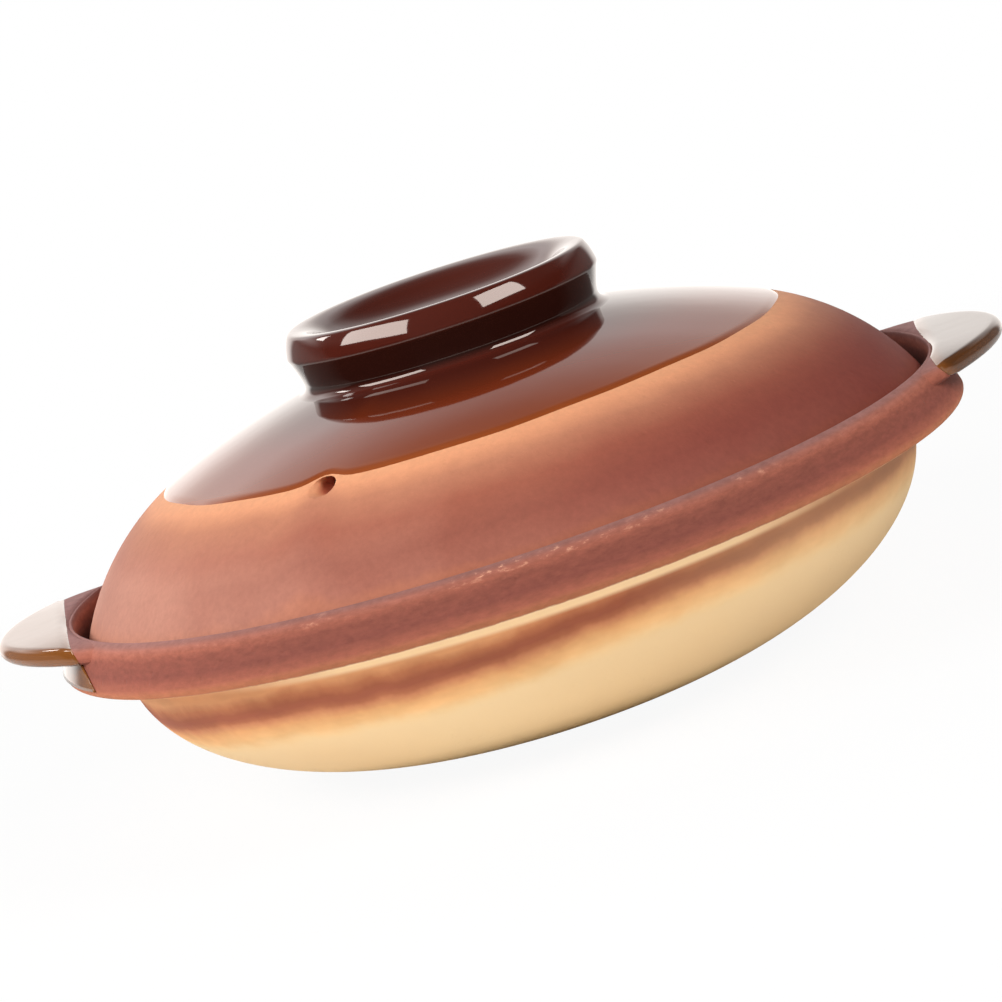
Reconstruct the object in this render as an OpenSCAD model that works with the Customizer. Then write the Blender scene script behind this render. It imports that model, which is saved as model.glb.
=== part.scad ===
// Lidded clay casserole. A thrown bowl has a flared rim band with a sunk seat for the lid, and two
// wide lugs luted to the band. The domed lid has a dished knob and a steam hole. Gloss glaze lies
// on the clay as thin coats, and the clay is drawn back by the same thickness where a coat lies on it.
// Origin at the centre of the base, +Z up, +X through the right lug, the steam hole towards -Y.

/* [Bowl] */
// Radius of the flat base
base_r = 33; // [25:0.5:45]
// Radius of the bowl's outer wall, where it meets the rim band
bowl_r = 115.3; // [90:0.1:150]
// Height of the bowl's outer wall, up to the fillet under the rim band
bowl_h = 46; // [36:0.5:60]
// Thickness of the bowl's wall
bowl_wall = 7; // [5:0.1:8]
// Thickness of the bowl's floor
floor_t = 7; // [5:0.1:10]

/* [Rim band] */
// Height of the band, from its underside to the rim
band_h = 15; // [13:0.1:20]
// Radius of the fillet between the bowl's wall and the band's underside
band_fillet = 3; // [1:0.1:5]
// Radius of the band's lower outer corner
band_corner = 2.4; // [1:0.1:4]
// How far the band's face flares out, from the rim down to the corner
band_flare = 3.6; // [1:0.1:6]
// Width of the rim's top
rim_top_w = 2.8; // [2.4:0.1:6]
// How far the rim's top falls towards the outside
rim_fall = 1.6; // [0:0.1:3]
// Rounding of the rim's two edges
rim_round = 1; // [0.4:0.1:1.1]

/* [Lid seat] */
// How far the seat's wall stands outside the bowl's wall
seat_out = 9.3; // [7:0.1:12]
// Depth of the seat below the rim
seat_depth = 9.2; // [5:0.1:11]
// How much the seat opens from its floor up to the rim
seat_draft = 0.6; // [0.2:0.1:2]
// Width of the seat's floor
seat_w = 11; // [9:0.1:13]
// Rounding of the seat floor's inner edge
seat_round = 1.5; // [0.5:0.1:3]
// Gap between the lid's edge and the seat's wall
lid_clearance = 1.5; // [0.5:0.1:3]
// Gap between the lid's foot and the seat's floor
seat_gap = 0.3; // [0.2:0.1:1]

/* [Lugs] */
// How far each lug reaches beyond the band
lug_reach = 15; // [10:0.5:30]
// Half of the angle round the pot that a lug takes
lug_half_angle = 24; // [15:1:35]
// Thickness of a lug at its root
lug_root_t = 7.5; // [5:0.1:9]
// Thickness of a lug at its rounded end
lug_tip_t = 4.2; // [3:0.1:4.8]
// Height of a lug's top above the rim
lug_rise = 0.4; // [0.1:0.1:1]
// How far a lug laps over the rim's top
lug_lap = 1.8; // [1.2:0.1:2.2]
// How much a lug's top has sunk where the lug runs out at the sides
lug_sink = 3; // [2.5:0.1:4]

/* [Lid] */
// Radius of the lid's crown
crown_r = 232; // [190:1:300]
// Radius of the lid's shoulder
shoulder_r = 69.3; // [60:0.1:75]
// Slope of the lid's side at its edge, from upright, in degrees
edge_lean = 25.3; // [15:0.1:35]
// Thickness of the lid
lid_wall = 6.5; // [5:0.1:8]
// Rounding of the lid's foot
foot_round = 1.2; // [0.5:0.1:2]

/* [Knob] */
// Radius of the knob's lip, at its lower edge
knob_r = 45.4; // [38:0.1:55]
// How far the knob's neck stands inside its lip
neck_in = 2.4; // [1:0.1:5]
// How far the knob's foot spreads from its neck
foot_spread = 2.4; // [1.5:0.1:6]
// Height of the neck's narrowest place above the knob's foot
neck_h = 3.2; // [2:0.1:6]
// Height from there up to the lip's lower edge
undercut_h = 8.4; // [5:0.1:12]
// Height of the lip's face
lip_face_h = 3.4; // [2:0.1:8]
// How far the lip's face leans in
lip_lean = 0.3; // [0.1:0.1:1]
// Rounding of the lip's upper edge
lip_round = 3.2; // [2:0.1:5]
// Radius of the level floor of the dish in the knob's top
dish_r = 18; // [8:0.5:20]
// Depth of the dish below the lip
dish_depth = 8.3; // [6:0.1:10.5]
// How far the lip's rounding reaches into the dish
dish_round = 3; // [1:0.1:5]
// Slope of the dish's wall, in degrees
dish_slope = 45; // [42:1:60]
// Share of the dish's wall at which it starts to bend into the floor
dish_share = 0.35; // [0.2:0.05:0.8]

/* [Steam hole] */
// Radius of the steam hole
hole_r = 2.6; // [1.5:0.1:4]
// Radius of the hole's mouth
hole_mouth_r = 4.2; // [4.1:0.1:7]
// Depth of the mouth's bevel
hole_bevel = 1.6; // [0.5:0.1:3]
// Distance of the hole's middle outside the glaze's dip line, measured level
hole_out = 1.8; // [0:0.1:10]
// Direction of the hole from the lid's centre, in degrees
hole_azimuth = 240.6; // [180:0.1:360]

/* [Glaze] */
// Thickness of the glaze coats
glaze_t = 0.5; // [0.2:0.1:1]
// Share of the way from the knob's foot to the lid's edge at which the outer glaze ends
dip_share = 0.56; // [0.4:0.01:0.7]
// Height of bare clay above the lid's foot, on the underside
foot_bare = 3; // [2:0.1:8]
// How far inside the band's face the right lug was dipped
right_dip = 4.8; // [1:0.1:8]
// How far inside the band's face the left lug was dipped
left_dip = 8; // [5:0.1:15]

/* [Hidden] */

// Number of flats that a round solid is drawn with
$fn = 96;
// Steps in a short rounding and in a long curve
few = 5;
many = 16;
// How far a cut runs past what it cuts
overrun = 5;

cream_clay = [0.93, 0.80, 0.58];
brown_clay = [0.60, 0.32, 0.25];
dark_glaze = [0.29, 0.12, 0.09];

// The bowl and its band, from the bowl's wall outwards and upwards
inner_r = bowl_r - bowl_wall;
seat_r = bowl_r + seat_out;
rim_in_r = seat_r + seat_draft;
rim_out_r = rim_in_r + rim_top_w;
band_r = rim_out_r + band_flare;
band_low = bowl_h + band_fillet;
rim_h = band_low + band_h;
rim_out_h = rim_h - rim_fall;
seat_h = rim_h - seat_depth;
seat_in_r = seat_r - seat_w;

// The lid, whose shoulder arc runs through its edge and whose crown arc is centred on the axis
lid_r = seat_r - lid_clearance;
lid_low = seat_h + seat_gap;
edge_h = lid_low + foot_round;
shoulder_at = [lid_r - shoulder_r * cos(edge_lean), edge_h - shoulder_r * sin(edge_lean)];
crown_join = acos(shoulder_at[0] / (crown_r - shoulder_r));
crown_low = shoulder_at[1] - (crown_r - shoulder_r) * sin(crown_join);
join_r = crown_r * cos(crown_join);
under_r = shoulder_r - lid_wall;
under_foot = asin((edge_h - shoulder_at[1]) / under_r);
under_dip = asin((lid_low + foot_bare - shoulder_at[1]) / under_r);
foot_in_r = shoulder_at[0] + under_r * cos(under_foot);

// The knob, whose heights are measured from the crown at its foot
neck_r = knob_r - neck_in;
foot_r = neck_r + foot_spread;
dip_r = foot_r + dip_share * (lid_r - foot_r);
hole_at_r = dip_r + hole_out;
foot_h = on_dome(foot_r, 0)[1];
neck_at = [neck_r, foot_h + neck_h];
lip_low = [knob_r, foot_h + neck_h + undercut_h];
corner_at = lip_low + [-lip_lean - lip_round, lip_face_h];
crest = corner_at + [0, lip_round];
dish_at = [dish_r, crest[1] - dish_depth];
dish_top = crest - [dish_round, 0];
dish_low = dish_top - [dish_depth / tan(dish_slope), dish_depth];
dish_mid = dish_top + dish_share * (dish_low - dish_top);
// Share of the undercut's height in which the neck stands nearly upright
upright_share = 0.2;

// The lugs
lug_top = rim_h + lug_rise;
lug_root_r = rim_in_r - overrun;
lap_r = rim_out_r - lug_lap;
// How quickly a lug narrows to its sides, as a power of a cosine
lug_swell = 1.25;

// Points closer together than this are one point
tiny = 0.001;

// Points along an arc, round or oval, from angle a0 to angle a1
function arc(c, rx, ry, a0, a1, n) =
    [for (i = [0:n]) let (a = a0 + (a1 - a0) * i / n) [c[0] + rx * cos(a), c[1] + ry * sin(a)]];

// Points along a bend from p to q that heads for the corner c
function bend(p, c, q, n) =
    [for (i = [0:n]) let (t = i / n) (1 - t) * (1 - t) * p + 2 * t * (1 - t) * c + t * t * q];

// The corner c between p and q, rounded off
function eased(p, c, q, r) =
    bend(c + r * (p - c) / norm(p - c), c, c + r * (q - c) / norm(q - c), few);

// A path without its repeated points
function clean(path) =
    [for (i = [0:len(path) - 1]) if (i == 0 || norm(path[i] - path[i - 1]) > tiny) path[i]];

// The direction of a path at point i, and the path moved to its left by d
function heading(path, i) =
    let (v = path[min(i + 1, len(path) - 1)] - path[max(i - 1, 0)]) v / norm(v);
function beside(path, d) =
    [for (i = [0:len(path) - 1]) path[i] + d * [-heading(path, i)[1], heading(path, i)[0]]];

function reversed(path) = [for (i = [len(path) - 1:-1:0]) path[i]];

module turned(points) {
    rotate_extrude() polygon(clean(points));
}

// The rim's two edges, the band's lower corner and the seat's corner
rim_in = [rim_in_r, rim_h];
rim_out = [rim_out_r, rim_out_h];
band_edge = [band_r, band_low + band_corner];
seat_corner = [seat_r, seat_h];
seat_edge = [seat_in_r, seat_h];

// The band's face, from its lower corner up round the rim's outer edge
function band_face() = concat([band_edge], eased(band_edge, rim_out, rim_in, rim_round));

// The bowl's inside, from just under the seat down to the middle of the floor
function bowl_inside() = clean(concat(
    bend(seat_edge - [0, seat_round], [inner_r, (seat_h - seat_round + bowl_h) / 2],
        [inner_r, bowl_h], few),
    arc([base_r, bowl_h], inner_r - base_r, bowl_h - floor_t, 0, -90, many),
    [[0, floor_t]]));

module pot_bowl() {
    color(cream_clay) turned(concat(
        [[0, 0]],
        arc([base_r, bowl_h], bowl_r - base_r, bowl_h, -90, 0, many),
        arc([bowl_r + band_fillet, bowl_h], band_fillet, band_fillet, 180, 90, few),
        arc(band_edge - [band_corner, 0], band_corner, band_corner, -90, 0, few),
        band_face(),
        eased(rim_out, rim_in, seat_corner, rim_round),
        [seat_corner],
        eased(seat_corner, seat_edge, [seat_in_r, 0], seat_round),
        beside(bowl_inside(), glaze_t)));
}

module bowl_inside_glaze() {
    color(dark_glaze)
        turned(concat(bowl_inside(), reversed(beside(bowl_inside(), glaze_t))));
}

// One cross-section of a lug, at angle a from the lug's middle, drawn in by inset all round
function lug_section(a, inset) =
    let (swell = pow(cos(90 * a / lug_half_angle), lug_swell), nose = lug_tip_t / 2,
        top = lug_top - lug_sink * pow(1 - swell, 2) - inset,
        reach = band_r - overrun + (lug_reach + overrun) * swell)
    concat([[lug_root_r, top]],
        arc([reach - nose, top + inset - nose], nose - inset, nose - inset, 90, -90, 2 * few),
        [[lug_root_r, lug_top - lug_root_t + inset]]);

// A lug before it is fitted to the rim, at +X
module lug_form(inset) {
    rings = 2 * many;
    sections = [for (i = [0:rings]) lug_section(lug_half_angle * (2 * i / rings - 1), inset)];
    n = len(sections[0]);
    points = [for (i = [0:rings]) let (a = lug_half_angle * (2 * i / rings - 1))
        for (p = sections[i]) [p[0] * cos(a), p[0] * sin(a), p[1]]];
    sides = [for (i = [0:rings - 1]) for (j = [0:n - 1])
        let (k = i * n + j, next = i * n + (j + 1) % n)
        for (f = [[k, k + n, next], [next, k + n, next + n]]) f];
    ends = [for (j = [1:n - 2]) for (f = [[0, j, j + 1],
        [rings * n, rings * n + j + 1, rings * n + j]]) f];
    polyhedron(points, concat(sides, ends));
}

// The room that the bowl takes, with all that lies inside the rim
module rim_room() {
    turned(concat([[0, bowl_h], [band_r - band_corner, band_low]],
        band_face(),
        [rim_out + (rim_in - rim_out) * lug_lap / rim_top_w,
            [lap_r, lug_top + overrun], [0, lug_top + overrun]]));
}

// All that lies further out along +X than a dip line
module beyond(dip_line) {
    span = 2 * (band_r + lug_reach);
    translate([dip_line, -span / 2, 0]) cube([span, span, lug_top + overrun]);
}

// The room that the band takes with a coat on its face and round the rim's outer edge
module coated_band() {
    coat = beside(band_face(), -glaze_t);
    turned(concat([[lug_root_r, coat[0][1]]], coat, [[lug_root_r, coat[len(coat) - 1][1]]]));
}

// The coat on what was dipped, which is what lies beyond the dip line and outside the clay
module dipped(dip_line) {
    difference() {
        intersection() {
            children();
            beyond(dip_line);
        }
        lug_form(glaze_t);
        rim_room();
    }
}

// The clay of a lug, drawn back under the glaze beyond the dip line
module lug_clay(dip_line) {
    difference() {
        lug_form(0);
        rim_room();
        difference() {
            beyond(dip_line);
            lug_form(glaze_t);
        }
    }
}

module right_lug() {
    color(brown_clay) lug_clay(band_r - right_dip);
}

module left_lug() {
    color(brown_clay) mirror([1, 0, 0]) lug_clay(band_r - left_dip);
}

module right_lug_glaze() {
    color(dark_glaze) dipped(band_r - right_dip) lug_form(0);
}

// The left lug was dipped deeper, so its glaze also covers the band's face below it
module left_lug_glaze() {
    color(dark_glaze) mirror([1, 0, 0]) {
        dipped(band_r - left_dip) lug_form(0);
        dipped(band_r - left_dip) coated_band();
    }
}

// The lid's outside at radius r, drawn in by inset, first as its slope and then as a point
function dome_angle(r) =
    r < join_r ? acos(r / crown_r) : acos((r - shoulder_at[0]) / shoulder_r);
function on_dome(r, inset) = let (a = dome_angle(r))
    r < join_r ? [0, crown_low] + (crown_r - inset) * [cos(a), sin(a)]
        : shoulder_at + (shoulder_r - inset) * [cos(a), sin(a)];
function dome(r0, r1, inset, n) =
    [for (i = [0:n]) on_dome(r0 + (r1 - r0) * i / n, inset)];

// The lid's underside, from the axis down to angle low on the shoulder
function under_dome(low, inset) = concat(
    arc([0, crown_low], crown_r - inset, crown_r - inset, 90, crown_join, many),
    arc(shoulder_at, shoulder_r - inset, shoulder_r - inset, crown_join, low, many));

// The steam hole, square to the lid's surface, with its bevelled mouth
module steam_hole() {
    at = on_dome(hole_at_r, 0);
    rotate([0, 0, hole_azimuth]) translate([at[0], 0, at[1]])
        rotate([0, 90 - dome_angle(hole_at_r), 0]) {
            translate([0, 0, -lid_wall - overrun]) cylinder(r = hole_r, h = lid_wall + 2 * overrun);
            translate([0, 0, -hole_bevel]) cylinder(r1 = hole_r, r2 = hole_mouth_r, h = hole_bevel);
            cylinder(r = hole_mouth_r, h = overrun);
        }
}

module lid_dome() {
    edge = [lid_r, edge_h];
    color(brown_clay) difference() {
        turned(concat(
            dome(0, foot_r, glaze_t, few),
            dome(foot_r, dip_r, glaze_t, 2 * few),
            dome(dip_r, lid_r, 0, many),
            eased(edge, [lid_r, lid_low], [0, lid_low], foot_round),
            eased([lid_r, lid_low], [foot_in_r, lid_low], [foot_in_r, edge_h], foot_round),
            [shoulder_at + under_r * [cos(under_dip), sin(under_dip)]],
            reversed(under_dome(under_dip, lid_wall - glaze_t))));
        steam_hole();
    }
}

module lid_outer_glaze() {
    color(dark_glaze) difference() {
        turned(concat(dome(foot_r, dip_r, 0, 2 * few), reversed(dome(foot_r, dip_r, glaze_t, 2 * few))));
        steam_hole();
    }
}

module lid_underside_glaze() {
    color(dark_glaze) difference() {
        turned(concat(under_dome(under_dip, lid_wall - glaze_t),
            reversed(under_dome(under_dip, lid_wall))));
        steam_hole();
    }
}

// The knob's outside, from its foot on the crown, up over the lip and down into the dish
function knob_outside() = clean(concat(
    bend([foot_r, foot_h], [neck_r, foot_h + foot_spread * foot_r / crown_r], neck_at, 2 * few),
    bend(neck_at, neck_at + [0, upright_share * undercut_h], lip_low, 2 * few),
    arc(corner_at, lip_round, lip_round, 0, 90, 2 * few),
    bend(crest, dish_top, dish_mid, 2 * few),
    bend(dish_mid, dish_low, dish_at, 2 * few),
    [[0, dish_at[1]]]));

// The knob's clay under its coat, which starts from the lid's clay
function knob_clay() = let (coat = beside(knob_outside(), glaze_t))
    concat([on_dome(foot_r, glaze_t)], [for (i = [1:len(coat) - 1]) coat[i]]);

module lid_knob() {
    color(brown_clay) turned(concat(dome(0, foot_r, glaze_t, few), knob_clay()));
}

module knob_glaze() {
    color(dark_glaze) turned(concat(knob_outside(), reversed(knob_clay())));
}

pot_bowl();
left_lug();
right_lug();
lid_dome();
lid_knob();
bowl_inside_glaze();
lid_outer_glaze();
lid_underside_glaze();
knob_glaze();
left_lug_glaze();
right_lug_glaze();
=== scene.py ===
import math

import bmesh
import bpy
from mathutils import Matrix, Vector


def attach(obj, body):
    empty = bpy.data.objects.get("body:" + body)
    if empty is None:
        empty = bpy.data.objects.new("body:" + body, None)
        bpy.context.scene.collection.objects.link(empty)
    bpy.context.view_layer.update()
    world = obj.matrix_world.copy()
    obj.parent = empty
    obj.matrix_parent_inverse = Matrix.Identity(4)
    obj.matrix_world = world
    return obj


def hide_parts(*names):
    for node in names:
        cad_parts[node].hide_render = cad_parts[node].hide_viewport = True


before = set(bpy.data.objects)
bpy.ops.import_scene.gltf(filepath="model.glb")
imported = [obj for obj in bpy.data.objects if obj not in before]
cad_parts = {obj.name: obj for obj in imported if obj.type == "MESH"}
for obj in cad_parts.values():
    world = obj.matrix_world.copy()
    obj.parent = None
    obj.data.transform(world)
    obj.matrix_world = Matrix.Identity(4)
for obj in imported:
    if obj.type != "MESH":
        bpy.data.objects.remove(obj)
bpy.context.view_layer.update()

# The bowl. Cream stoneware, thrown on a wheel, with a thick flared band at its rim and a
# sunk seat for the lid. An iron wash is brushed over the band and bleeds onto the wall below.
# Lengths are in millimetres until MM turns them to metres.
MM = 0.001
TURNS = 240
BASE_R = 33.0
BOWL_R, BOWL_H = 115.3, 46.0
BOWL_INNER_R, FLOOR_T = 108.3, 7.0
BAND_R, BAND_LOW, BAND_CORNER, BAND_FILLET = 131.6, 49.0, 2.4, 3.0
RIM_IN, RIM_OUT, RIM_ROUND = (125.2, 64.0), (128.0, 62.4), 1.0
SEAT_CORNER, SEAT_EDGE, SEAT_ROUND = (124.6, 54.8), (113.6, 54.8), 1.5
UNDER_SEAT = (BOWL_INNER_R, 49.6)


def line(start, end, steps):
    """Points from start to end, in millimetres of radius and height."""
    return [tuple(a + (b - a) * i / steps for a, b in zip(start, end)) for i in range(steps + 1)]


def arc(centre, across, up, first, last, steps):
    """Points along a round or oval arc, with angles in degrees."""
    turns = (math.radians(first + (last - first) * i / steps) for i in range(steps + 1))
    return [(centre[0] + across * math.cos(a), centre[1] + up * math.sin(a)) for a in turns]


def bend(start, corner, end, steps):
    """Points along a bend from start to end that heads for the corner."""
    shares = (i / steps for i in range(steps + 1))
    return [tuple((1 - t) ** 2 * a + 2 * t * (1 - t) * c + t * t * b
                  for a, c, b in zip(start, corner, end)) for t in shares]


def toward(start, end, distance):
    """The point at a distance from start on the way to end."""
    share = distance / math.dist(start, end)
    return tuple(a + (b - a) * share for a, b in zip(start, end))


def eased(before, corner, after, size, steps=6):
    """A corner rounded off over a distance of size on either side."""
    return bend(toward(corner, before, size), corner, toward(corner, after, size), steps)


def spun(outline, closed=False, sweep=360.0, steps=TURNS, start=0.0):
    """Turns an outline of radius and height about the pot's axis, as a lathe would."""
    bm = bmesh.new()
    kept = [p for i, p in enumerate(outline) if i == 0 or math.dist(p, outline[i - 1]) > 1e-3]
    turn = Matrix.Rotation(math.radians(start), 3, "Z")
    ring = [bm.verts.new(turn @ Vector((r * MM, 0, z * MM))) for r, z in kept]
    edges = [bm.edges.new(pair) for pair in zip(ring, ring[1:])]
    if closed:
        edges.append(bm.edges.new((ring[-1], ring[0])))
    bmesh.ops.spin(bm, geom=ring + edges, cent=(0, 0, 0), axis=(0, 0, 1), dvec=(0, 0, 0),
                   angle=math.radians(sweep), steps=steps, use_merge=sweep == 360.0,
                   use_normal_flip=False, use_duplicate=False)
    bmesh.ops.remove_doubles(bm, verts=bm.verts, dist=0.002 * MM)
    bmesh.ops.recalc_face_normals(bm, faces=bm.faces)
    return bm


def about(co):
    """A point's radius in millimetres, its angle round the axis and its height in millimetres."""
    return math.hypot(co.x, co.y) / MM, math.atan2(co.y, co.x), co.z / MM


def waves(a, terms):
    """A wobble round the axis: the sum of its terms, each a size, waves to a turn and a start."""
    return sum(size * math.sin(count * a + start) for size, count, start in terms)


def pot_sway(co):
    """How far the hand-thrown bowl runs out of true at a point, in millimetres out and up."""
    r, a, z = about(co)
    share = min(max(z / RIM_IN[1], 0), 1) ** 2
    return (share * waves(a, ((0.3, 2, 1.1), (0.12, 5, 0.4))),
            share * waves(a, ((0.12, 2, 2.0), (0.10, 3, 5.0))))


def out_of_true(bm, sway):
    """Moves every vertex by the sway at its place."""
    for v in bm.verts:
        out, up = sway(v.co)
        r = math.hypot(v.co.x, v.co.y)
        if r > 1e-6:
            v.co += Vector((v.co.x / r, v.co.y / r, 0)) * out * MM
        v.co.z += up * MM


def finished(name, bm, material, body, nodes, crease=40.0):
    """Turns a bmesh into a smooth piece that rides on its body in place of its CAD nodes."""
    for face in bm.faces:
        face.smooth = True
    for edge in bm.edges:
        if len(edge.link_faces) == 2 and edge.calc_face_angle(0) > math.radians(crease):
            edge.smooth = False
    mesh = bpy.data.meshes.new(name)
    bm.to_mesh(mesh)
    bm.free()
    piece = bpy.data.objects.new(name, mesh)
    bpy.context.scene.collection.objects.link(piece)
    piece.data.materials.append(material)
    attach(piece, body)
    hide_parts(*nodes)
    return piece


def hue(code):
    """An sRGB hex colour as linear red, green, blue and alpha."""
    parts = [int(code[i:i + 2], 16) / 255 for i in (1, 3, 5)]
    return [c / 12.92 if c <= 0.04045 else ((c + 0.055) / 1.055) ** 2.4 for c in parts] + [1.0]


def put(tree, kind, sockets=None, **settings):
    """Adds a node with its settings, and sets or links its input sockets."""
    made = tree.nodes.new(kind)
    for name, value in settings.items():
        setattr(made, name, value)
    for name, value in (sockets or {}).items():
        if isinstance(value, bpy.types.NodeSocket):
            tree.links.new(value, made.inputs[name])
        else:
            made.inputs[name].default_value = value
    return made


def fresh(name):
    """A new material with an empty node tree."""
    material = bpy.data.materials.new(name)
    material.use_nodes = True
    material.node_tree.nodes.clear()
    return material, material.node_tree


def fired_clay(name, colour_of, roughness):
    """Matte stoneware: colour_of gives its colour and how rough to make it at each point."""
    material, tree = fresh(name)
    place = put(tree, "ShaderNodeTexCoord").outputs["Object"]
    colour, coarse = colour_of(tree, place)
    # Grog of 1 mm and pores 4 mm apart, both drawn coarser than they are so that they show.
    grain = put(tree, "ShaderNodeTexNoise", {"Vector": place, "Scale": 1000.0, "Detail": 3.0,
                "Roughness": 0.65}).outputs[0]
    pores = put(tree, "ShaderNodeTexVoronoi", {"Vector": place, "Scale": 230.0,
                "Randomness": 1.0}).outputs["Distance"]
    pit = put(tree, "ShaderNodeMapRange", {0: pores, 1: 0.04, 2: 0.22, 3: 0.0, 4: 1.0},
              interpolation_type="SMOOTHSTEP").outputs[0]
    mid = put(tree, "ShaderNodeBump", {"Height": grain, "Strength": coarse, "Distance": 0.0004})
    top = put(tree, "ShaderNodeBump", {"Height": pit, "Strength": coarse, "Distance": 0.0005,
              "Normal": mid.outputs[0]})
    shader = put(tree, "ShaderNodeBsdfPrincipled", {"Base Color": colour, "Roughness": roughness,
                 "IOR": 1.45, "Specular IOR Level": 0.25, "Normal": top.outputs[0]})
    put(tree, "ShaderNodeOutputMaterial", {"Surface": shader.outputs[0]})
    return material


def colour_stops(tree, value, low, high, stops):
    """A colour that runs through the stops, (value, hex colour), as value goes from low to high."""
    share = put(tree, "ShaderNodeMapRange", {0: value, 1: low, 2: high}).outputs[0]
    made = put(tree, "ShaderNodeValToRGB", {0: share})
    ramp = made.color_ramp
    for at, code in stops:
        stop = ramp.elements.new((at - low) / (high - low))
        stop.color = hue(code)
    ramp.elements.remove(ramp.elements[0])
    ramp.elements.remove(ramp.elements[-1])
    return made.outputs[0]


def washed_stoneware(tree, place):
    """Cream stoneware with an iron wash on its band that ran down the wall to a dark tide line."""
    axes = put(tree, "ShaderNodeSeparateXYZ", {0: place}).outputs
    height, side = axes["Z"], axes["X"]
    # Clouds of 90 mm in the body and a tide line that frays over 10 mm. The wash has specks of 3 mm
    # and blotches of 24 mm, drawn out level as the brush and the wheel left them.
    cloud = put(tree, "ShaderNodeTexNoise", {"Vector": place, "Scale": 11.0, "Detail": 2.0,
                "Roughness": 0.5}).outputs[0]
    fray = put(tree, "ShaderNodeTexNoise", {"Vector": place, "Scale": 100.0, "Detail": 3.0,
               "Roughness": 0.6}).outputs[0]
    flat = put(tree, "ShaderNodeVectorMath", {0: place, 1: (1.0, 1.0, 2.6)},
               operation="MULTIPLY").outputs[0]
    speck = put(tree, "ShaderNodeTexNoise", {"Vector": flat, "Scale": 300.0, "Detail": 4.0,
                "Roughness": 0.7}).outputs[0]
    blotch = put(tree, "ShaderNodeTexNoise", {"Vector": flat, "Scale": 42.0, "Detail": 3.0,
                 "Roughness": 0.6}).outputs[0]
    body = put(tree, "ShaderNodeMix", {0: cloud, 6: hue("#f4dbb0"), 7: hue("#eac796")},
               data_type="RGBA").outputs[2]
    wavy = put(tree, "ShaderNodeMath", {0: cloud, 1: -0.010, 2: height},
               operation="MULTIPLY_ADD").outputs[0]
    lower = put(tree, "ShaderNodeMath", {0: side, 1: -0.025, 2: wavy},
                operation="MULTIPLY_ADD").outputs[0]
    ragged = put(tree, "ShaderNodeMath", {0: fray, 1: -0.0035, 2: lower},
                 operation="MULTIPLY_ADD").outputs[0]
    # The two noises lower the height by 7 mm on average, so the tide line, 37 mm up, reads 30.
    run = colour_stops(tree, ragged, 0.020, 0.044, (
        (0.0220, "#efc890"), (0.0253, "#e8b780"), (0.0277, "#dca26f"), (0.0298, "#c2805b"),
        (0.0308, "#ab694b"), (0.0322, "#9e5c46"), (0.0336, "#a05e46"), (0.0356, "#ba7754"),
        (0.0380, "#dca173")))
    uneven = put(tree, "ShaderNodeMapRange",
                 {0: blotch, 1: 0.34, 2: 0.66, 3: 0.93, 4: 1.10}).outputs[0]
    run = put(tree, "ShaderNodeHueSaturation", {"Color": run, "Value": uneven}).outputs[0]
    # The foot is painted a little browner than the wall, as painted shade where the bowl turns
    # under.
    shaded = put(tree, "ShaderNodeMapRange",
                 {0: height, 1: 0.012, 2: 0.001, 3: 0.0, 4: 0.6}).outputs[0]
    body = put(tree, "ShaderNodeMix", {0: shaded, 6: body, 7: hue("#a88c5c")},
               data_type="RGBA").outputs[2]
    strength = put(tree, "ShaderNodeMapRange", {0: ragged, 1: 0.020, 2: 0.025, 3: 0.0, 4: 1.0},
                   interpolation_type="SMOOTHSTEP").outputs[0]
    thinner = put(tree, "ShaderNodeMapRange",
                  {0: side, 1: 0.02, 2: 0.07, 3: 1.0, 4: 0.74}).outputs[0]
    share = put(tree, "ShaderNodeMath", {0: strength, 1: thinner}, operation="MULTIPLY").outputs[0]
    wall = put(tree, "ShaderNodeMix", {0: share, 6: body, 7: run}, data_type="RGBA").outputs[2]
    # The band's lower lip and the corner under it were wiped in front and behind, so the cream
    # body shows there.
    corner = put(tree, "ShaderNodeMapRange", {0: height, 1: 0.0436, 2: 0.0452, 3: 0.0, 4: 1.0},
                 interpolation_type="SMOOTHSTEP").outputs[0]
    sideways = put(tree, "ShaderNodeMath", {0: side}, operation="ABSOLUTE").outputs[0]
    clean = put(tree, "ShaderNodeMapRange",
                {0: sideways, 1: 0.055, 2: 0.088, 3: 1.0, 4: 0.1}).outputs[0]
    bare = put(tree, "ShaderNodeMath", {0: corner, 1: clean}, operation="MULTIPLY").outputs[0]
    wiped = put(tree, "ShaderNodeMix", {0: bare, 6: wall, 7: hue("#fbdfb6")},
                data_type="RGBA").outputs[2]
    worn = put(tree, "ShaderNodeMath", {0: speck, 1: 0.0009, 2: height},
               operation="MULTIPLY_ADD").outputs[0]
    band = put(tree, "ShaderNodeMapRange", {0: worn, 1: 0.0494, 2: 0.0501, 3: 0.0, 4: 1.0},
               interpolation_type="SMOOTHSTEP").outputs[0]
    # The wash is lighter over the rim's rounded outer edge, 61 to 63 mm up: a painted highlight
    # where that edge catches the light.
    wash_and_lit_edge = colour_stops(tree, worn, 0.050, 0.066, (
        (0.0505, "#a9694a"), (0.0525, "#8e503e"), (0.0555, "#774035"), (0.0595, "#7b4336"),
        (0.0612, "#8e5140"), (0.0625, "#94594a"), (0.0634, "#86584f"), (0.0645, "#835c58")))
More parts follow.
